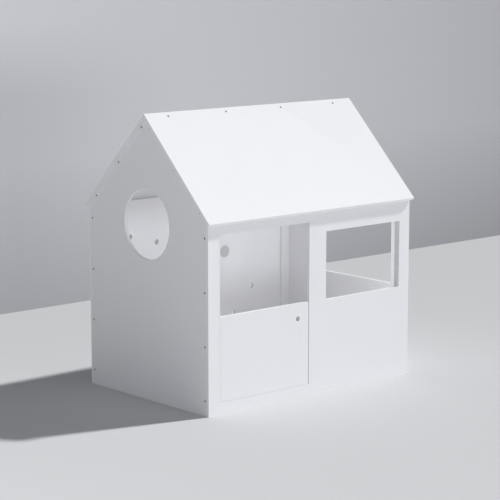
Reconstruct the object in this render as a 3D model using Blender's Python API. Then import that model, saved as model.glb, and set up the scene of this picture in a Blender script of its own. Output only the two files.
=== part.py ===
"""Flat-panel playhouse with a half door.

Six flat panels of one thickness are screwed together through strips, called cleats
here, that are glued along the inner edges of the walls and under the roof panels.
X runs along the front, Y from front to back, and Z is up. The origin is on the
ground, under the middle of the house.
"""
import math

import bmesh
import bpy
from mathutils import Matrix, Vector

# ---------------------------------------------------------------- driving sizes, metres
HOUSE_WIDTH = 1.200            # outside the two gables
HOUSE_DEPTH = 0.816            # outside the front and back walls
WALL_HEIGHT = 0.817            # outer top edge of the front and back walls
PANEL = 0.015                  # thickness of every panel and of every cleat
CLEAT_WIDTH = 0.049
GAP = 0.0003                   # between two pieces that bear on each other

RAKE_OVERHANG = 0.010          # roof beyond the gables
EAVE_OVERHANG = 0.009          # lower edge of the roof beyond the walls

DOORWAY_WIDTH = 0.511
DOOR_TOP = 0.420
DOOR_GAP_HINGE = 0.0006
DOOR_GAP_LATCH = 0.004
DOOR_GAP_BOTTOM = 0.0006
FINGER_HOLE = 0.023
FINGER_HOLE_FROM_SIDE = 0.062
FINGER_HOLE_FROM_TOP = 0.068

WINDOW_WIDTH = 0.459
WINDOW_HEIGHT = 0.303
FRONT_WINDOW_SILL = 0.416
GABLE_WINDOW_SILL = 0.412
GABLE_WINDOW_FROM_FRONT = 0.099

PORTHOLE = 0.308
PORTHOLE_HEIGHT = 0.7715

HAND_HOLE = 0.025
HAND_HOLES = ((0.214, 0.647), (0.367, 0.608), (0.836, 0.211), (0.951, 0.331))  # from the left, height
WALL_CAP = 0.057
WALL_CAP_FROM_LEFT = 0.780
WALL_CAP_HEIGHT = 0.517

SCREW_HEAD = 0.009
SCREW_HEAD_DEPTH = 0.003
SCREW_SOCKET = 0.004
SCREW_SOCKET_DEPTH = 0.002
SCREW_SHANK = 0.005
SCREW_LENGTH = 0.042
SCREW_SIDES = 12
WALL_SCREWS = 4                # up each edge of a gable
WALL_SCREW_FIRST = 0.066
WALL_SCREW_LAST_FROM_TOP = 0.060
SLOPE_SCREWS = 3               # down each slope of a gable
SLOPE_SCREW_END = 0.047        # from the ends of the back rake cleats
RIDGE_SCREWS = 4
RIDGE_SCREW_END = 0.047        # from the ends of the ridge cleat

CLEAT_FOOT = 0.0035            # cleats stand this far off the ground

HINGE_HEIGHT = 0.050
HINGE_FROM_DOOR_END = 0.045
HINGE_LEAF = 0.0015
HINGE_BARREL = 0.0066
HINGE_PIN = 0.0030
DOOR_LEAF_WIDTH = 0.026
LEAF_SCREW_HOLE = 0.0036
LEAF_SCREW_FROM_END = 0.012
LEAF_SET_IN = 0.0002           # a leaf's back is this far inside the barrel's outside
NOTCH_MARGIN = 0.0008          # each leaf is notched this far past the other's knuckles

# ---------------------------------------------------------------- derived places
HALF_WIDTH = HOUSE_WIDTH / 2
HALF_DEPTH = HOUSE_DEPTH / 2
INNER_X = HALF_WIDTH - PANEL - GAP          # the cleats start here, inside a gable
INNER_Y = HALF_DEPTH - PANEL - GAP          # the cleats start here, inside a wall
FRONT_Y = -HALF_DEPTH
SLOPE = math.radians(45)                    # the roof panels meet square
COS = math.cos(SLOPE)
GABLE_APEX = WALL_HEIGHT + HALF_DEPTH
RIDGE_HEIGHT = GABLE_APEX + (GAP + PANEL) / COS
ROOF_LENGTH = (HALF_DEPTH + EAVE_OVERHANG) / COS + PANEL

DOORWAY_LEFT = -INNER_X + CLEAT_WIDTH
DOORWAY_RIGHT = DOORWAY_LEFT + DOORWAY_WIDTH
DOORWAY_TOP = WALL_HEIGHT - CLEAT_WIDTH
THRESHOLD_HEIGHT = CLEAT_FOOT + CLEAT_WIDTH     # level with the top of the sill cleat
DOOR_LEFT = DOORWAY_LEFT + DOOR_GAP_HINGE
DOOR_RIGHT = DOORWAY_RIGHT - DOOR_GAP_LATCH
DOOR_BOTTOM = THRESHOLD_HEIGHT + DOOR_GAP_BOTTOM
WINDOW_RIGHT = INNER_X - CLEAT_WIDTH
WINDOW_LEFT = WINDOW_RIGHT - WINDOW_WIDTH

# a rake cleat ends where its upper corner meets the wall
RAKE_CLEAT_END = INNER_Y / COS + PANEL
CLEAT_MIDDLE = PANEL + GAP + PANEL / 2      # of a cleat's thickness, from the outside


# ---------------------------------------------------------------- scene, collections, materials
for old in list(bpy.data.objects):
    bpy.data.objects.remove(old, do_unlink=True)

house = bpy.data.collections.new("playhouse")
cutters = bpy.data.collections.new("cutters")
bpy.context.scene.collection.children.link(house)
bpy.context.scene.collection.children.link(cutters)


def material(name, colour, roughness, metallic=0.0):
    """A plain Principled material."""
    made = bpy.data.materials.new(name)
    made.use_nodes = True
    shader = made.node_tree.nodes["Principled BSDF"]
    shader.inputs["Base Color"].default_value = (*colour, 1.0)
    shader.inputs["Roughness"].default_value = roughness
    shader.inputs["Metallic"].default_value = metallic
    return made


def set_material(piece, name, colour, roughness, metallic=0.0):
    """Gives the piece its own copy of a finish."""
    piece.data.materials.clear()
    piece.data.materials.append(material(f"{name}_{piece.name}", colour, roughness, metallic))


def white_panel(piece):
    set_material(piece, "white_panel", (0.86, 0.86, 0.86), 0.5)
    return piece


def steel(piece):
    set_material(piece, "steel", (0.45, 0.45, 0.46), 0.35, 1.0)
    return piece


# ---------------------------------------------------------------- shapes
def mesh_object(name, mesh_builder, frame, collection=house):
    """An object whose mesh is what mesh_builder leaves in a bmesh, placed by frame."""
    bm = bmesh.new()
    mesh_builder(bm)
    bmesh.ops.recalc_face_normals(bm, faces=bm.faces)
    mesh = bpy.data.meshes.new(name)
    bm.to_mesh(mesh)
    bm.free()
    piece = bpy.data.objects.new(name, mesh)
    piece.matrix_world = frame
    collection.objects.link(piece)
    return piece


def add_block(bm, low, high):
    """A box between two corners."""
    low, high = Vector(low), Vector(high)
    made = bmesh.ops.create_cube(bm, size=1.0)
    bmesh.ops.scale(bm, vec=high - low, verts=made["verts"])
    bmesh.ops.translate(bm, vec=(low + high) / 2, verts=made["verts"])


def block(name, low, high, frame=Matrix()):
    """A straight piece with square ends, such as a cleat or a roof panel."""
    return mesh_object(name, lambda bm: add_block(bm, low, high), frame)


def add_turned(bm, profile, place, sides):
    """A solid turned about Z from (radius, height) points that start and end on the axis."""
    turned = bmesh.new()
    points = [turned.verts.new((radius, 0, height)) for radius, height in profile]
    edges = [turned.edges.new(pair) for pair in zip(points, points[1:])]
    bmesh.ops.spin(turned, geom=points + edges, cent=(0, 0, 0), axis=(0, 0, 1),
                   angle=2 * math.pi, steps=sides, use_merge=True)
    bmesh.ops.remove_doubles(turned, verts=turned.verts, dist=0.00001)
    bmesh.ops.recalc_face_normals(turned, faces=turned.faces)
    bmesh.ops.transform(turned, matrix=place, verts=turned.verts)
    mesh = bpy.data.meshes.new("turned")
    turned.to_mesh(mesh)
    turned.free()
    bm.from_mesh(mesh)
    bpy.data.meshes.remove(mesh)


def circle(centre, diameter, count):
    """Points round a circle in a board's own plane."""
    turn = 2 * math.pi / count
    return [(centre[0] + diameter / 2 * math.cos(turn * step),
             centre[1] + diameter / 2 * math.sin(turn * step)) for step in range(count)]


def rectangle(left, right, bottom, top):
    return [(left, bottom), (right, bottom), (right, top), (left, top)]


def board(name, outlines, frame):
    """A panel cut from sheet: the first outline is its edge, the rest are openings."""
    curve = bpy.data.curves.new(name, "CURVE")
    curve.dimensions = "2D"
    curve.fill_mode = "BOTH"
    curve.extrude = PANEL / 2
    for outline in outlines:
        spline = curve.splines.new("POLY")
        spline.points.add(len(outline) - 1)
        for point, (across, up) in zip(spline.points, outline):
            point.co = (across, up, 0, 1)
        spline.use_cyclic_u = True
    drawn = bpy.data.objects.new(name + "_outline", curve)
    house.objects.link(drawn)
    evaluated = drawn.evaluated_get(bpy.context.evaluated_depsgraph_get())
    mesh = bpy.data.meshes.new_from_object(evaluated)
    bpy.data.objects.remove(drawn, do_unlink=True)
    bm = bmesh.new()
    bm.from_mesh(mesh)
    bmesh.ops.remove_doubles(bm, verts=bm.verts, dist=0.00001)
    bmesh.ops.recalc_face_normals(bm, faces=bm.faces)
    bm.to_mesh(mesh)
    bm.free()
    piece = bpy.data.objects.new(name, mesh)
    piece.matrix_world = frame
    house.objects.link(piece)
    return piece


def cut(piece, name, mesh_builder):
    """Takes a cutter's shape, built in world space, out of the piece."""
    cutter = mesh_object(name, mesh_builder, Matrix(), cutters)
    cutter.hide_render = True
    cutter.display_type = "WIRE"
    boolean = piece.modifiers.new(name, "BOOLEAN")
    boolean.operation = "DIFFERENCE"
    boolean.solver = "EXACT"
    boolean.object = cutter


# frames: a board's own X and Y become the width and the height of the panel
WALL_FACING = Matrix.Rotation(math.radians(90), 4, "X")
GABLE_FACING = Matrix(((0, 0, 1, 0), (1, 0, 0, 0), (0, 1, 0, 0), (0, 0, 0, 1)))


def wall_frame(middle_y):
    return Matrix.Translation((0, middle_y, 0)) @ WALL_FACING


def gable_frame(middle_x):
    return Matrix.Translation((middle_x, 0, 0)) @ GABLE_FACING


def roof_frame(side):
    """Origin on the ridge, Y up the slope and Z out of the roof."""
    half_turn = 0 if side == "front" else math.pi
    return (Matrix.Translation((0, 0, RIDGE_HEIGHT)) @ Matrix.Rotation(half_turn, 4, "Z")
            @ Matrix.Rotation(SLOPE, 4, "X"))


# ---------------------------------------------------------------- front wall, back wall and cap
# a wall starts taller by the panel's thickness, and its top is cut to the roof's slope
wall_outline = rectangle(-HALF_WIDTH, HALF_WIDTH, 0, WALL_HEIGHT + PANEL)
doorway = rectangle(DOORWAY_LEFT, DOORWAY_RIGHT, THRESHOLD_HEIGHT, DOORWAY_TOP)
front_window = rectangle(WINDOW_LEFT, WINDOW_RIGHT, FRONT_WINDOW_SILL,
                         FRONT_WINDOW_SILL + WINDOW_HEIGHT)
front_wall = board("front_wall", [wall_outline, doorway, front_window],
                   wall_frame(FRONT_Y + PANEL / 2))

cap_centre = (WALL_CAP_FROM_LEFT - HALF_WIDTH, WALL_CAP_HEIGHT)
back_openings = [circle((from_left - HALF_WIDTH, height), HAND_HOLE, 24)
                 for from_left, height in HAND_HOLES]
back_openings.append(circle(cap_centre, WALL_CAP, 32))
back_wall_frame = wall_frame(HALF_DEPTH - PANEL / 2)
back_wall = board("back_wall", [wall_outline] + back_openings, back_wall_frame)
white_panel(board("back_wall_cap", [circle(cap_centre, WALL_CAP - 2 * GAP, 32)], back_wall_frame))


def cut_to_roof(wall, side):
    """Takes off all of a wall that is above the underside of its roof panel."""
    def above(bm):
        add_block(bm, (-HALF_WIDTH - PANEL, -ROOF_LENGTH, -PANEL - GAP),
                  (HALF_WIDTH + PANEL, 0, PANEL))
        bmesh.ops.transform(bm, matrix=roof_frame(side), verts=bm.verts)
    cut(wall, "roof_line_" + side, above)
    white_panel(wall)


cut_to_roof(front_wall, "front")
cut_to_roof(back_wall, "back")

# ---------------------------------------------------------------- gables
gable_outline = [(-INNER_Y, 0), (INNER_Y, 0), (INNER_Y, GABLE_APEX - INNER_Y),
                 (0, GABLE_APEX), (-INNER_Y, GABLE_APEX - INNER_Y)]
porthole = circle((0, PORTHOLE_HEIGHT), PORTHOLE, 64)
gable_window_front = FRONT_Y + GABLE_WINDOW_FROM_FRONT
gable_window = rectangle(gable_window_front, gable_window_front + WINDOW_WIDTH,
                         GABLE_WINDOW_SILL, GABLE_WINDOW_SILL + WINDOW_HEIGHT)
gables = {
    "left": board("gable_left", [gable_outline, porthole], gable_frame(-HALF_WIDTH + PANEL / 2)),
    "right": board("gable_right", [gable_outline, gable_window],
                   gable_frame(HALF_WIDTH - PANEL / 2)),
}
for gable in gables.values():
    white_panel(gable)

# ---------------------------------------------------------------- roof panels
roof_half_width = HALF_WIDTH + RAKE_OVERHANG
roof_front = block("roof_front", (-roof_half_width, -ROOF_LENGTH, -PANEL),
                   (roof_half_width, 0, 0), roof_frame("front"))
# the front panel laps over the top edge of the back panel
roof_back = block("roof_back", (-roof_half_width, -ROOF_LENGTH, -PANEL),
                  (roof_half_width, -PANEL - GAP, 0), roof_frame("back"))
white_panel(roof_front)
white_panel(roof_back)

# ---------------------------------------------------------------- cleats
cleats = {}


def cleat(name, low, high, frame=Matrix()):
    cleats[name] = white_panel(block("cleat_" + name, low, high, frame))


for end, facing in (("front", -1), ("back", 1)):
    near, far = sorted((facing * INNER_Y, facing * (INNER_Y - PANEL)))
    for side, hand in (("left", -1), ("right", 1)):
        outer, inner = sorted((hand * INNER_X, hand * (INNER_X - CLEAT_WIDTH)))
        cleat(f"corner_{end}_{side}", (outer, near, CLEAT_FOOT), (inner, far, WALL_HEIGHT))
    between = INNER_X - CLEAT_WIDTH - GAP
    cleat(f"eave_{end}", (-between, near, DOORWAY_TOP), (between, far, WALL_HEIGHT))
    cleat(f"sill_{end}", (-between, near, CLEAT_FOOT),
          (between, far, CLEAT_FOOT + CLEAT_WIDTH))

# under the roof: the front rake cleats start below the back ones
under = -PANEL - GAP
rake_cleat_tops = {"front": 2 * (PANEL + GAP) + GAP, "back": PANEL + GAP}
for end, top in rake_cleat_tops.items():
    for side, hand in (("left", -1), ("right", 1)):
        own_hand = hand if end == "front" else -hand
        outer, inner = sorted((own_hand * INNER_X, own_hand * (INNER_X - CLEAT_WIDTH)))
        cleat(f"rake_{end}_{side}", (outer, -RAKE_CLEAT_END, under - PANEL),
              (inner, -top, under), roof_frame(end))
ridge_cleat_half = INNER_X - CLEAT_WIDTH - GAP
ridge_cleat_top = PANEL + GAP
cleat("ridge", (-ridge_cleat_half, -ridge_cleat_top - CLEAT_WIDTH, under - PANEL),
      (ridge_cleat_half, -ridge_cleat_top, under), roof_frame("back"))

# ---------------------------------------------------------------- screws
screw_profile = [
    (0, -SCREW_SOCKET_DEPTH),
    (SCREW_SOCKET / 2, -SCREW_SOCKET_DEPTH),
    (SCREW_SOCKET / 2, 0),
    (SCREW_HEAD / 2, 0),
    (SCREW_HEAD / 2, -SCREW_HEAD_DEPTH),
    (SCREW_SHANK / 2, -SCREW_HEAD_DEPTH),
    (SCREW_SHANK / 2, GAP + SCREW_SHANK - SCREW_LENGTH),
    (0, -SCREW_LENGTH),
]
SCREW_HOLE_TOP = 0.002         # the cutter starts this far outside the face
screw_hole_profile = [
    (0, SCREW_HOLE_TOP),
    (SCREW_HEAD / 2 + GAP, SCREW_HOLE_TOP),
    (SCREW_HEAD / 2 + GAP, -SCREW_HEAD_DEPTH - GAP),
    (SCREW_SHANK / 2 + GAP, -SCREW_HEAD_DEPTH - GAP),
    (SCREW_SHANK / 2 + GAP, -SCREW_LENGTH - GAP),
    (0, -SCREW_LENGTH - GAP),
]


def screw(name, place, held_pieces):
    """A countersunk screw whose head faces its own +Z, with its hole in each piece it holds."""
    made = mesh_object(name, lambda bm: add_turned(bm, screw_profile, Matrix(), SCREW_SIDES),
                       place)
    made.data.shade_smooth()
    made.data.set_sharp_from_angle(angle=math.radians(30))
    steel(made)
    for held in held_pieces:
        screw_holes.setdefault(held.name, []).append(place)


def drill_screw_holes():
    """One cutter for each piece, with all of its screw holes."""
    for name, places in screw_holes.items():
        def holes(bm, places=places):
            for place in places:
                add_turned(bm, screw_hole_profile, place, SCREW_SIDES)
        cut(bpy.data.objects[name], "screw_holes_" + name, holes)


def spaced(first, last, count):
    return [first + (last - first) * step / (count - 1) for step in range(count)]


screw_holes = {}
wall_screw_heights = spaced(WALL_SCREW_FIRST, WALL_HEIGHT - WALL_SCREW_LAST_FROM_TOP, WALL_SCREWS)
slope_screw_places = spaced(rake_cleat_tops["back"] + SLOPE_SCREW_END,
                            RAKE_CLEAT_END - SLOPE_SCREW_END, SLOPE_SCREWS)
for side, hand in (("left", -1), ("right", 1)):
    facing_out = Matrix.Rotation(hand * math.pi / 2, 4, "Y")
    for end, facing in (("front", -1), ("back", 1)):
        for number, height in enumerate(wall_screw_heights, start=1):
            spot = Vector((hand * HALF_WIDTH, facing * (HALF_DEPTH - CLEAT_MIDDLE), height))
            screw(f"screw_{side}_{end}_{number}", Matrix.Translation(spot) @ facing_out,
                  (gables[side], cleats[f"corner_{end}_{side}"]))
        for number, down in enumerate(slope_screw_places, start=1):
            own_hand = hand if end == "front" else -hand
            spot = roof_frame(end) @ Vector((own_hand * HALF_WIDTH, -down, -CLEAT_MIDDLE))
            screw(f"screw_{side}_slope_{end}_{number}", Matrix.Translation(spot) @ facing_out,
                  (gables[side], cleats[f"rake_{end}_{side}"]))
ridge_screw_reach = ridge_cleat_half - RIDGE_SCREW_END
for number, across in enumerate(spaced(-ridge_screw_reach, ridge_screw_reach, RIDGE_SCREWS), start=1):
    place = roof_frame("front") @ Matrix.Translation((across, -CLEAT_MIDDLE, 0))
    screw(f"screw_ridge_{number}", place, (roof_front, cleats["ridge"]))
drill_screw_holes()

# ---------------------------------------------------------------- half door
# the hinge axis stands off the jamb and off the door's inner face by half a barrel
hinge_axis = Vector((DOORWAY_LEFT + GAP + HINGE_BARREL / 2,
                     FRONT_Y + PANEL + GAP + HINGE_BARREL / 2, 0))
door_pivot = bpy.data.objects.new("door_pivot", None)
door_pivot.location = hinge_axis
house.objects.link(door_pivot)
bpy.context.view_layer.update()

finger_hole = circle((DOOR_RIGHT - FINGER_HOLE_FROM_SIDE, DOOR_TOP - FINGER_HOLE_FROM_TOP),
                     FINGER_HOLE, 32)
half_door = board("half_door", [rectangle(DOOR_LEFT, DOOR_RIGHT, DOOR_BOTTOM, DOOR_TOP),
                                finger_hole], wall_frame(FRONT_Y + PANEL / 2))
white_panel(half_door)


def hang_on_pivot(piece):
    """Parents a piece to the hinge axis without moving it."""
    piece.parent = door_pivot
    piece.matrix_parent_inverse = door_pivot.matrix_world.inverted()


hang_on_pivot(half_door)

# ---------------------------------------------------------------- hinges
KNUCKLES = 3
knuckle_height = (HINGE_HEIGHT - (KNUCKLES - 1) * GAP) / KNUCKLES
barrel_radius = HINGE_BARREL / 2
leaf_back = barrel_radius - LEAF_SET_IN
frame_leaf_end = barrel_radius + PANEL - HINGE_BARREL - GAP


def add_knuckle(bm, number):
    bottom = number * (knuckle_height + GAP)
    profile = [(0, bottom), (barrel_radius, bottom), (barrel_radius, bottom + knuckle_height),
               (0, bottom + knuckle_height)]
    add_turned(bm, profile, Matrix(), 24)


def hinge_leaf(name, plate, own_knuckles, hole_axis, base):
    """A leaf is its plate, joined to its knuckles, notched for the others and drilled."""
    place = Matrix.Translation(base)
    leaf = mesh_object(name, lambda bm: add_block(bm, *plate), place)
    knuckles = mesh_object(name + "_knuckles",
                           lambda bm: [add_knuckle(bm, number) for number in own_knuckles],
                           place, cutters)
    knuckles.hide_render = True
    knuckles.display_type = "WIRE"

    def waste(bm):
        for number in range(KNUCKLES):
            if number in own_knuckles:
                continue
            low = number * (knuckle_height + GAP) - NOTCH_MARGIN
            high = low + knuckle_height + 2 * NOTCH_MARGIN
            reach = barrel_radius + GAP
            add_block(bm, base + Vector((-reach, -reach, low)),
                      base + Vector((reach, reach, high)))

    def bores(bm):
        margin = 0.002
        bore = HINGE_PIN / 2 + GAP
        profile = [(0, -margin), (bore, -margin), (bore, HINGE_HEIGHT + margin),
                   (0, HINGE_HEIGHT + margin)]
        add_turned(bm, profile, place, 16)
        hole = LEAF_SCREW_HOLE / 2
        drill = [(0, -margin), (hole, -margin), (hole, margin), (0, margin)]
        middle = (Vector(plate[0]) + Vector(plate[1])) / 2
        for height in (LEAF_SCREW_FROM_END, HINGE_HEIGHT - LEAF_SCREW_FROM_END):
            spot = base + Vector((middle.x, middle.y, height)) + LEAF_SCREW_SHIFT[hole_axis]
            add_turned(bm, drill, Matrix.Translation(spot) @ LEAF_SCREW_TURN[hole_axis], 12)

    cut(leaf, name + "_waste", waste)
    joined = leaf.modifiers.new("knuckles", "BOOLEAN")
    joined.operation = "UNION"
    joined.solver = "EXACT"
    joined.object = knuckles
    cut(leaf, name + "_bores", bores)
    return steel(leaf)


# the screw holes sit outside the barrel, in the free part of each plate
LEAF_SCREW_TURN = {"X": Matrix.Rotation(math.pi / 2, 4, "Y"), "Y": Matrix.Rotation(math.pi / 2, 4, "X")}
LEAF_SCREW_SHIFT = {"X": Vector((0, barrel_radius / 2, 0)), "Y": Vector((barrel_radius / 2, 0, 0))}

hinge_bottoms = (("lower", DOOR_BOTTOM + HINGE_FROM_DOOR_END),
                 ("upper", DOOR_TOP - HINGE_FROM_DOOR_END - HINGE_HEIGHT))
for level, bottom in hinge_bottoms:
    base = hinge_axis + Vector((0, 0, bottom))
    # on the edge of the corner cleat
    frame_plate = ((-leaf_back, 0, 0), (-leaf_back + HINGE_LEAF, frame_leaf_end, HINGE_HEIGHT))
    hinge_leaf(f"hinge_{level}_frame_leaf", frame_plate, (0, 2), "X", base)
    # on the inner face of the door
    door_plate = ((0, -leaf_back, 0), (DOOR_LEAF_WIDTH, -leaf_back + HINGE_LEAF, HINGE_HEIGHT))
    door_leaf = hinge_leaf(f"hinge_{level}_door_leaf", door_plate, (1,), "Y", base)
    hang_on_pivot(door_leaf)
    pin_profile = [(0, -GAP), (HINGE_PIN / 2, -GAP), (HINGE_PIN / 2, HINGE_HEIGHT + GAP),
                   (0, HINGE_HEIGHT + GAP)]
    pin = mesh_object(f"hinge_{level}_pin",
                      lambda bm: add_turned(bm, pin_profile, Matrix(), 16),
                      Matrix.Translation(base))
    pin.data.shade_smooth()
    pin.data.set_sharp_from_angle(angle=math.radians(30))
    steel(pin)
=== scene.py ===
import math

import bmesh
import bpy
from mathutils import Matrix, Vector


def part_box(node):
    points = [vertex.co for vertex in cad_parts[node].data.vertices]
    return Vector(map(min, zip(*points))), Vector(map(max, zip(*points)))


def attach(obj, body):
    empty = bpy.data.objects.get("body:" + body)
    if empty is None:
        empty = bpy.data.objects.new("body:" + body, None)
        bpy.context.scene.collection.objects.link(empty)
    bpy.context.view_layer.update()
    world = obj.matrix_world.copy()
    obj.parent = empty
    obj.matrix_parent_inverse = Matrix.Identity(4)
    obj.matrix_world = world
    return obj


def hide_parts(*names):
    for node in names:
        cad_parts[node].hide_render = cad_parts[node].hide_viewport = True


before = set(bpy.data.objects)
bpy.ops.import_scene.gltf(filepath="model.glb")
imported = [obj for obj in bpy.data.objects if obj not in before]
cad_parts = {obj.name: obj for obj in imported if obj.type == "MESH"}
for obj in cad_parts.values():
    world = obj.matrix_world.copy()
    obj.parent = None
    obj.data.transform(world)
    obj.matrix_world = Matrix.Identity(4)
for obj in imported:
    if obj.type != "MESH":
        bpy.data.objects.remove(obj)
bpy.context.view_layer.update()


# ------------------------------------------------------------------ wall panels
# Four panels cut from 15 mm rigid sheet on a router, lacquered satin white. The cutter leaves
# square edges, which are sanded to a small round by hand before the panels are sprayed.

arris_round = 0.0008
arris_steps = 3
least_arris = math.radians(50)
screw_hole_chord = 0.003       # edges shorter than this belong to screw holes and stay sharp
flat_facets = math.radians(1)  # CAD facets that turn by less than this are one face
weld_gap = 0.00001
sheet_face_cosine = 0.97
sawn_edge_cosine = 0.2
arris_sawn = 0.6


def how_sawn(sheet_normal, face_normal):
    """How far a face is turned from the sheet's own face: 0 is the face, 1 is a sawn edge."""
    cosine = abs(sheet_normal.dot(face_normal))
    if cosine > sheet_face_cosine:
        return 0.0
    return 1.0 if cosine < sawn_edge_cosine else arris_sawn


def eased_sheet(node, body, finish, ease=arris_round, shortest=screw_hole_chord):
    """The panel in a CAD node's place: the same cut shape, with its arrises rounded."""
    bm = bmesh.new()
    bm.from_mesh(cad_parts[node].data)
    bmesh.ops.remove_doubles(bm, verts=bm.verts, dist=weld_gap)
    bmesh.ops.dissolve_limit(bm, angle_limit=flat_facets, verts=bm.verts, edges=bm.edges)
    arrises = [edge for edge in bm.edges
               if edge.is_manifold and edge.calc_face_angle() > least_arris
               and edge.calc_length() > shortest]
    bmesh.ops.bevel(bm, geom=arrises, offset=ease, offset_type="OFFSET", affect="EDGES",
                    segments=arris_steps, profile=0.5, material=-1, clamp_overlap=True)
    sheet_normal = max(bm.faces, key=lambda face: face.calc_area()).normal.copy()
    sawn = bm.faces.layers.float.new("sawn_edge")
    for face in bm.faces:
        face[sawn] = how_sawn(sheet_normal, face.normal)
        face.smooth = True
    mesh = bpy.data.meshes.new(node + "_finished")
    bm.to_mesh(mesh)
    bm.free()
    mesh.set_sharp_from_angle(angle=math.radians(40))
    piece = bpy.data.objects.new(node + "_finished", mesh)
    bpy.context.scene.collection.objects.link(piece)
    piece.data.materials.append(finish)
    weighted = piece.modifiers.new("flat_faces_stay_flat", "WEIGHTED_NORMAL")
    weighted.keep_sharp = True
    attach(piece, body)
    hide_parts(node)
    return piece


def new_node(tree, kind, **settings):
    """A shader node with some of its inputs or properties set."""
    node = tree.nodes.new(kind)
    for name, value in settings.items():
        socket = name.replace("_", " ").title()
        if socket in node.inputs:
            node.inputs[socket].default_value = value
        else:
            setattr(node, name, value)
    return node


def mix_colour(tree, factor, first, second):
    """A colour mix: factor, first and second are sockets or plain values."""
    mix = new_node(tree, "ShaderNodeMix", data_type="RGBA")
    for socket, value in ((mix.inputs[0], factor), (mix.inputs[6], first), (mix.inputs[7], second)):
        if isinstance(value, bpy.types.NodeSocket):
            tree.links.new(value, socket)
        else:
            socket.default_value = value
    return mix.outputs[2]


peel_size = 420.0              # noise scales, in waves per metre
speck_size = 95.0
cloud_size = 5.0
pore_size = 900.0
edge_dryness = 0.16            # how much rougher a sawn edge is
peel_strength = 0.12
peel_height = 0.0004


def lacquered_sheet(name, tone, edge_tone, roughness):
    """Sprayed satin white: faint orange peel, cloudy roughness, and drier cut edges in their own
    edge tone; for the white sheets that tone is lighter, a painted highlight for the light the cut
    edges catch.
    """
    made = bpy.data.materials.new(name)
    made.use_nodes = True
    tree = made.node_tree
    link = tree.links.new
    shader = tree.nodes["Principled BSDF"]
    place = new_node(tree, "ShaderNodeTexCoord").outputs["Object"]

    peel = new_node(tree, "ShaderNodeTexNoise", scale=peel_size, detail=2.0, roughness=0.45)
    cloud = new_node(tree, "ShaderNodeTexNoise", scale=cloud_size, detail=4.0, roughness=0.6)
    speck = new_node(tree, "ShaderNodeTexNoise", scale=speck_size, detail=3.0, roughness=0.7)
    for texture in (peel, cloud, speck):
        link(place, texture.inputs["Vector"])
    sawn = new_node(tree, "ShaderNodeAttribute", attribute_name="sawn_edge").outputs["Fac"]

    # the sprayed face: slightly lighter and darker clouds, and faint dust specks
    light = tuple(channel * 1.012 for channel in tone) + (1.0,)
    dark = tuple(channel * 0.985 for channel in tone) + (1.0,)
    face_colour = mix_colour(tree, cloud.outputs["Fac"], dark, light)
    specks = new_node(tree, "ShaderNodeMapRange", from_min=0.66, from_max=0.8, to_min=0.0,
                      to_max=0.05)
    link(speck.outputs["Fac"], specks.inputs["Value"])
    dusty = tuple(channel * 0.86 for channel in tone) + (1.0,)
    face_colour = mix_colour(tree, specks.outputs["Result"], face_colour, dusty)
    # cut edges take the edge tone; on the white sheets it is lighter, a painted highlight for the
    # light the edges catch
    colour = mix_colour(tree, sawn, face_colour, (*edge_tone, 1.0))
    link(colour, shader.inputs["Base Color"])

    gloss = new_node(tree, "ShaderNodeMapRange", from_min=0.3, from_max=0.7,
                     to_min=roughness - 0.05, to_max=roughness + 0.06)
    link(cloud.outputs["Fac"], gloss.inputs["Value"])
    dry = new_node(tree, "ShaderNodeMath", operation="MULTIPLY_ADD")
    link(sawn, dry.inputs[0])
    dry.inputs[1].default_value = edge_dryness
    link(gloss.outputs["Result"], dry.inputs[2])
    link(dry.outputs[0], shader.inputs["Roughness"])

    # cut edges keep the foamed core's fine pores under the lacquer
    pores = new_node(tree, "ShaderNodeTexVoronoi", scale=pore_size)
    link(place, pores.inputs["Vector"])
    relief = new_node(tree, "ShaderNodeMix", data_type="FLOAT")
    link(sawn, relief.inputs[0])
    link(peel.outputs["Fac"], relief.inputs[2])
    link(pores.outputs["Distance"], relief.inputs[3])
    bump = new_node(tree, "ShaderNodeBump", strength=peel_strength, distance=peel_height)
    link(relief.outputs[0], bump.inputs["Height"])
    link(bump.outputs["Normal"], shader.inputs["Normal"])
    return made


sheet_tone = (0.86, 0.86, 0.88)
# lighter than the sheet: a painted highlight for the light that falls on the cut edges
lit_cut_edge_tone = (0.90, 0.90, 0.91)
wall_finish = lacquered_sheet("wall_lacquer", sheet_tone, lit_cut_edge_tone, 0.46)

for panel in ("back_wall", "gable_left", "gable_right"):
    eased_sheet(panel, "house", wall_finish)
# the door was cut out of this one, so its arrises are kept crisp and the seam stays thin
seam_round = 0.0004
eased_sheet("front_wall", "house", wall_finish, ease=seam_round)


# ------------------------------------------------------------------ cap in the back wall
# A disc of the same sheet, cut out of the back wall with a hole saw and pressed back flush. It is a
# flat pale grey, darker than the wall.

cap_finish = lacquered_sheet("cap_flat_grey", (0.58, 0.58, 0.59), (0.52, 0.52, 0.53), 0.6)
eased_sheet("back_wall_cap", "house", cap_finish)


# ------------------------------------------------------------------ cleats
# Flat strips of the panel sheet, glued inside along the corners, eaves, sills, rakes and
# ridge. They hold the screws, and were sprayed with the panels.

cleat_finish = lacquered_sheet("cleat_lacquer", (0.85, 0.85, 0.87), lit_cut_edge_tone, 0.5)
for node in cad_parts:
    if node.startswith("cleat_"):
        eased_sheet(node, "house", cleat_finish)


# ------------------------------------------------------------------ roof panels
# Two panels that meet square at the ridge. The front one laps over the top edge of the back
# one and is screwed down along that edge.

# the roof's lacquer is a lighter tone than the walls': painted sheen that stands in for the glare
# the sun is kept from giving
sheen_painted_roof_finish = lacquered_sheet("roof_lacquer_painted_sheen", (0.885, 0.885, 0.9), lit_cut_edge_tone, 0.44)
for panel in ("roof_front", "roof_back"):
    eased_sheet(panel, "house", sheen_painted_roof_finish)


# ------------------------------------------------------------------ assembly screws
# Zinc-plated flat-head screws with a hexagon socket, driven flush. Each one goes through a
# panel and along the middle of the cleat behind it.

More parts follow.
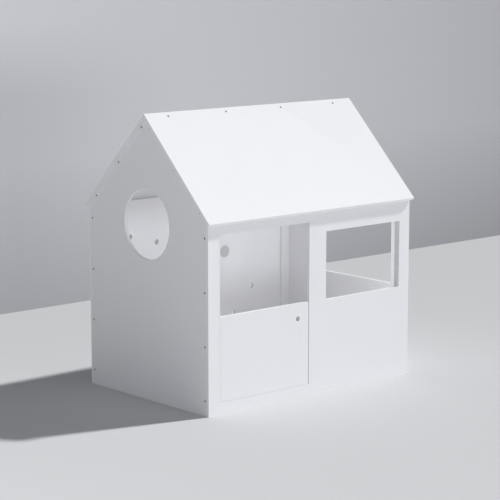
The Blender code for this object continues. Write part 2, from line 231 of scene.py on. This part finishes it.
def zinc_plate(name, colour, roughness):
    """Dull plated steel: cloudy grey, with fine turning marks."""
    made = bpy.data.materials.new(name)
    made.use_nodes = True
    tree = made.node_tree
    link = tree.links.new
    shader = tree.nodes["Principled BSDF"]
    shader.inputs["Metallic"].default_value = 1.0
    place = new_node(tree, "ShaderNodeTexCoord").outputs["Object"]
    cloud = new_node(tree, "ShaderNodeTexNoise", scale=260.0, detail=4.0, roughness=0.6)
    grain = new_node(tree, "ShaderNodeTexNoise", scale=2600.0, detail=2.0, roughness=0.5)
    for texture in (cloud, grain):
        link(place, texture.inputs["Vector"])
    dark = tuple(channel * 0.8 for channel in colour) + (1.0,)
    link(mix_colour(tree, cloud.outputs["Fac"], dark, (*colour, 1.0)), shader.inputs["Base Color"])
    gloss = new_node(tree, "ShaderNodeMapRange", from_min=0.3, from_max=0.7,
                     to_min=roughness - 0.07, to_max=roughness + 0.1)
    link(cloud.outputs["Fac"], gloss.inputs["Value"])
    link(gloss.outputs["Result"], shader.inputs["Roughness"])
    bump = new_node(tree, "ShaderNodeBump", strength=0.15, distance=0.0001)
    link(grain.outputs["Fac"], bump.inputs["Height"])
    link(bump.outputs["Normal"], shader.inputs["Normal"])
    return made


screw_finish = zinc_plate("screw_zinc", (0.28, 0.28, 0.29), 0.42)
head_radius = 0.0045
head_thickness = 0.003
head_chamfer = 0.0004
socket_radius = 0.0023
socket_depth = 0.002
root_radius = 0.0019
crest_radius = 0.0025
thread_pitch = 0.0028
thread_start = 0.008
tip_length = 0.005
screw_reach = 0.042
point_radius = 0.0002
turned_sides = 24
turned_weld = 0.000001
socket_turn = 0.73             # from one screw to the next, so that no two stop alike


def socket_screw(name, place):
    """Head up on Z: a ring round a hexagon socket, spun down into a threaded shank."""
    bm = bmesh.new()
    outline = [(head_radius - head_chamfer, 0), (head_radius, -head_chamfer),
               (head_radius, -head_thickness), (root_radius, -head_thickness),
               (root_radius, -thread_start)]
    depth = thread_start
    while depth + thread_pitch < screw_reach - tip_length:
        outline.append((crest_radius, -depth - thread_pitch / 2))
        outline.append((root_radius, -depth - thread_pitch))
        depth += thread_pitch
    outline.append((point_radius, -screw_reach))
    points = [bm.verts.new((radius, 0, height)) for radius, height in outline]
    edges = [bm.edges.new(pair) for pair in zip(points, points[1:])]
    bmesh.ops.spin(bm, geom=points + edges, cent=(0, 0, 0), axis=(0, 0, 1),
                   angle=2 * math.pi, steps=turned_sides, use_merge=True)
    bmesh.ops.remove_doubles(bm, verts=bm.verts, dist=turned_weld)
    rims = [edge for edge in bm.edges if edge.is_boundary]
    top = [edge for edge in rims if edge.verts[0].co.z > -socket_depth / 2]
    bmesh.ops.holes_fill(bm, edges=[edge for edge in rims if edge not in top])
    mouth = bmesh.ops.create_circle(bm, segments=6, radius=socket_radius)["verts"]
    mouth_edges = [edge for edge in bm.edges if edge.verts[0] in mouth and edge.verts[1] in mouth]
    bmesh.ops.bridge_loops(bm, edges=top + mouth_edges)
    walls = bmesh.ops.extrude_edge_only(bm, edges=mouth_edges)["geom"]
    floor_verts = [item for item in walls if isinstance(item, bmesh.types.BMVert)]
    bmesh.ops.translate(bm, vec=(0, 0, -socket_depth), verts=floor_verts)
    floor_edges = [item for item in walls if isinstance(item, bmesh.types.BMEdge)]
    floor_edges = [edge for edge in floor_edges
                   if all(vert in floor_verts for vert in edge.verts)]
    bmesh.ops.holes_fill(bm, edges=floor_edges)
    bmesh.ops.recalc_face_normals(bm, faces=bm.faces)
    bmesh.ops.transform(bm, matrix=place, verts=bm.verts)
    return finished_metal(name, bm, screw_finish)


def finished_metal(name, bm, finish):
    """Turns a bmesh into a smooth-shaded metal piece."""
    for face in bm.faces:
        face.smooth = True
    mesh = bpy.data.meshes.new(name)
    bm.to_mesh(mesh)
    bm.free()
    mesh.set_sharp_from_angle(angle=math.radians(35))
    piece = bpy.data.objects.new(name, mesh)
    bpy.context.scene.collection.objects.link(piece)
    mesh.materials.append(finish)
    return piece


def head_place(node):
    """The middle of a screw's head, facing out of its panel."""
    low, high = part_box(node)
    middle = (low + high) / 2
    if node.startswith("screw_left"):
        spot = Matrix.Translation((low.x, middle.y, middle.z))
        return spot @ Matrix.Rotation(-math.pi / 2, 4, "Y")
    if node.startswith("screw_right"):
        spot = Matrix.Translation((high.x, middle.y, middle.z))
        return spot @ Matrix.Rotation(math.pi / 2, 4, "Y")
    inset = head_radius * math.cos(math.pi / 4)
    spot = Matrix.Translation((middle.x, low.y + inset, high.z - inset))
    return spot @ Matrix.Rotation(math.pi / 4, 4, "X")


screw_nodes = sorted(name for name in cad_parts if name.startswith("screw_"))
for number, node in enumerate(screw_nodes):
    turn = Matrix.Rotation(number * socket_turn, 4, "Z")
    screw = socket_screw(node + "_finished", head_place(node) @ turn)
    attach(screw, "house")
    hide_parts(node)


# ------------------------------------------------------------------ half door
# The piece of sheet that came out of the doorway, trimmed for its gaps, with a finger hole
# near its free corner. It closes flush in the doorway.

finger_hole_chord = 0.002
door_finish = lacquered_sheet("door_lacquer", sheet_tone, lit_cut_edge_tone, 0.45)
eased_sheet("half_door", "door", door_finish, ease=seam_round,
            shortest=finger_hole_chord)


# ------------------------------------------------------------------ hinges
# Two plated butt hinges inside the left jamb. The frame leaf is screwed to the edge of the
# corner cleat and the door leaf to the inside of the door, with round-head screws.

hinge_finish = zinc_plate("hinge_zinc", (0.56, 0.56, 0.57), 0.32)
leaf_round = 0.0003
leaf_thickness = 0.0015
leaf_set_in = 0.0002           # from the barrel's outside to the leaf's back
leaf_notch_chord = 0.004       # edges shorter than this are round the barrel and stay sharp
leaf_screw_from_end = 0.012
barrel_reach = 0.0033
dome_radius = 0.0031
dome_height = 0.0014
slot_width = 0.0007
dome_steps = 4
leaf_screw_shank = 0.0015
leaf_screw_taper = 0.010       # below the head, where the point starts
leaf_screw_length = 0.013


def round_head(name, place):
    """A dome on a short shank, with a small round recess sunk into its crown."""
    bm = bmesh.new()
    outline = [(dome_radius * math.sin(math.pi / 2 * step / dome_steps),
                dome_height * math.cos(math.pi / 2 * step / dome_steps))
               for step in range(1, dome_steps + 1)]
    outline += [(leaf_screw_shank, 0), (leaf_screw_shank, -leaf_screw_taper),
                (point_radius, -leaf_screw_length)]
    points = [bm.verts.new((radius, 0, height)) for radius, height in outline]
    edges = [bm.edges.new(pair) for pair in zip(points, points[1:])]
    bmesh.ops.spin(bm, geom=points + edges, cent=(0, 0, 0), axis=(0, 0, 1),
                   angle=2 * math.pi, steps=turned_sides, use_merge=True)
    bmesh.ops.remove_doubles(bm, verts=bm.verts, dist=turned_weld)
    caps = bmesh.ops.holes_fill(bm, edges=[edge for edge in bm.edges if edge.is_boundary])["faces"]
    crown = max(caps, key=lambda face: face.calc_center_median().z)
    bmesh.ops.inset_region(bm, faces=[crown], thickness=slot_width / 4)
    bmesh.ops.translate(bm, vec=(0, 0, -slot_width), verts=crown.verts)
    bmesh.ops.recalc_face_normals(bm, faces=bm.faces)
    bmesh.ops.transform(bm, matrix=place, verts=bm.verts)
    return finished_metal(name, bm, hinge_finish)


for level in ("lower", "upper"):
    for leaf, body in (("frame_leaf", "house"), ("door_leaf", "door")):
        node = f"hinge_{level}_{leaf}"
        eased_sheet(node, body, hinge_finish, ease=leaf_round,
                    shortest=leaf_notch_chord)
        low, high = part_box(node)
        for end, height in (("bottom", low.z + leaf_screw_from_end),
                            ("top", high.z - leaf_screw_from_end)):
            if leaf == "frame_leaf":
                across = (low.y + 2 * barrel_reach + high.y) / 2
                place = (Matrix.Translation((low.x + leaf_thickness + leaf_set_in, across, height))
                         @ Matrix.Rotation(math.pi / 2, 4, "Y"))
            else:
                across = (low.x + 2 * barrel_reach + high.x) / 2
                place = (Matrix.Translation((across, low.y + leaf_thickness + leaf_set_in, height))
                         @ Matrix.Rotation(-math.pi / 2, 4, "X"))
            screw = round_head(f"hinge_{level}_{leaf}_{end}_screw", place)
            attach(screw, body)
    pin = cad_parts[f"hinge_{level}_pin"]
    pin.data.materials.clear()
    pin.data.materials.append(hinge_finish)


# ------------------------------------------------------------------ floor
# A plain pale studio floor, painted matt, that runs past the edge of the view. It keeps the
# house's shadow.

floor_reach = 120.0


def studio_sheet(name, half_length, half_height, finish, lie):
    """A plain rectangle, drawn lying down and then turned by lie."""
    bm = bmesh.new()
    bmesh.ops.create_grid(bm, x_segments=1, y_segments=1, size=1.0)
    bmesh.ops.scale(bm, vec=(half_length, half_height, 1.0), verts=bm.verts)
    bmesh.ops.transform(bm, matrix=lie, verts=bm.verts)
    mesh = bpy.data.meshes.new(name)
    bm.to_mesh(mesh)
    bm.free()
    mesh.materials.append(finish)
    sheet = bpy.data.objects.new(name, mesh)
    bpy.context.scene.collection.objects.link(sheet)
    return sheet


floor_finish = bpy.data.materials.new("studio_floor_paint")
floor_finish.use_nodes = True
floor_shader = floor_finish.node_tree.nodes["Principled BSDF"]
floor_shader.inputs["Base Color"].default_value = (0.655, 0.655, 0.665, 1.0)
floor_shader.inputs["Roughness"].default_value = 0.9
floor_shader.inputs["Specular IOR Level"].default_value = 0.1
studio_sheet("studio_floor", floor_reach, floor_reach, floor_finish, Matrix())


# ------------------------------------------------------------------ wall behind
# A plain matt studio wall that stands behind the house and shows through its front window. Painted
# shade makes it darker towards its foot and towards the right; it lights nothing, and is clear from
# behind.

wall_behind_house = 1.97
wall_half_length = 30.0
wall_half_height = 3.0
wall_tone = (0.775, 0.775, 0.81, 1.0)
black = (0.0, 0.0, 0.0, 1.0)

wall_paint = bpy.data.materials.new("studio_wall_paint")
wall_paint.use_nodes = True
tree = wall_paint.node_tree
link = tree.links.new
paint = tree.nodes["Principled BSDF"]
paint.inputs["Roughness"].default_value = 0.95
paint.inputs["Specular IOR Level"].default_value = 0.0
place = new_node(tree, "ShaderNodeSeparateXYZ")
link(new_node(tree, "ShaderNodeTexCoord").outputs["Object"], place.inputs["Vector"])
# painted shade: the wall's colour darkens towards the right and towards its foot
rightward = new_node(tree, "ShaderNodeMapRange", from_min=0.0, from_max=5.0, to_min=1.0,
                     to_max=0.72)
link(place.outputs["X"], rightward.inputs["Value"])
upward = new_node(tree, "ShaderNodeMapRange", from_min=-wall_half_height, from_max=-2.2,
                  to_min=0.72, to_max=1.0)
link(place.outputs["Z"], upward.inputs["Value"])
shade = new_node(tree, "ShaderNodeMath", operation="MULTIPLY")
link(rightward.outputs["Result"], shade.inputs[0])
link(upward.outputs["Result"], shade.inputs[1])
link(mix_colour(tree, shade.outputs[0], black, wall_tone), paint.inputs["Base Color"])

clear = new_node(tree, "ShaderNodeBsdfTransparent")
seen_from = new_node(tree, "ShaderNodeMixShader")
link(new_node(tree, "ShaderNodeNewGeometry").outputs["Backfacing"], seen_from.inputs[0])
link(paint.outputs[0], seen_from.inputs[1])
link(clear.outputs[0], seen_from.inputs[2])
link(seen_from.outputs[0], tree.nodes["Material Output"].inputs["Surface"])

backdrop = studio_sheet("studio_wall", wall_half_length, wall_half_height, wall_paint,
                        Matrix.Rotation(math.pi / 2, 4, "X"))
backdrop.location = (0.0, wall_behind_house, wall_half_height)
backdrop.visible_diffuse = False
backdrop.visible_glossy = False


# ------------------------------------------------------------------ lamps and surroundings
# One sun from the right, a little to the front, a wide fill low in front, a small fill from the
# left and an even pale surround. A lamp inside the front wall, which the camera doesn't see,
# stands for the daylight that bounces about the room.

aim_height = 0.6
fill_tint = (0.95, 0.97, 1.0)


def lamp(name, kind, towards, distance, energy, **settings):
    """A lamp on the line that runs from the house towards a place, aimed at the house."""
    data = bpy.data.lights.new(name, kind)
    data.energy = energy
    for setting, value in settings.items():
        setattr(data, setting, value)
    made = bpy.data.objects.new(name, data)
    made.location = Vector(towards).normalized() * distance + Vector((0, 0, aim_height))
    made.rotation_euler = Vector(towards).to_track_quat("Z", "Y").to_euler()
    bpy.context.scene.collection.objects.link(made)
    return made


sun_azimuth = math.radians(74)         # from the front, towards the right
sun_height = math.radians(45)
sun_width = math.radians(3.5)
sun_towards = (math.sin(sun_azimuth) * math.cos(sun_height),
               -math.cos(sun_azimuth) * math.cos(sun_height), math.sin(sun_height))
sun = lamp("sun", "SUN", sun_towards, 8, 3.05, angle=sun_width)
sun.visible_glossy = False             # the lacquer shows no glare from it

lamp("front_fill", "AREA", (0.1, -1.0, 0.04), 7, 122, shape="RECTANGLE", size=4.5, size_y=1.4,
     color=fill_tint)
lamp("left_fill", "AREA", (-1.0, -0.25, 0.2), 4, 18, shape="RECTANGLE", size=2.0, size_y=1.5,
     color=fill_tint)

room_light_width = 1.0
room_light_height = 0.64
room_light = lamp("room_light", "AREA", (0.0, -1.0, 0.0), 0.36, 1.8, shape="RECTANGLE",
                  size=room_light_width, size_y=room_light_height)
room_light.location.x = 0.14           # towards the window, and below the middle of the wall
room_light.location.z = 0.45
room_light.visible_camera = False

world = bpy.data.worlds.new("studio")
bpy.context.scene.world = world
world.use_nodes = True
surround = world.node_tree.nodes["Background"]
surround.inputs["Color"].default_value = (0.90, 0.94, 1.0, 1.0)
surround.inputs["Strength"].default_value = 0.19


# ------------------------------------------------------------------ camera
# A long lens, left of the front-left corner and a little above the ridge, that looks down
# at the house.

looking_down = 0.1668
turned_right = 0.7247
camera_data = bpy.data.cameras.new("camera")
camera_data.sensor_width = 36.0
camera_data.lens = 131.2
camera_data.clip_end = 400.0
camera = bpy.data.objects.new("camera", camera_data)
camera.location = (-5.383, -6.071, 1.9594)
camera.rotation_euler = (math.pi / 2 - looking_down, 0.0, -turned_right)
bpy.context.scene.collection.objects.link(camera)
bpy.context.scene.camera = camera
bpy.context.scene.view_settings.view_transform = "Standard"
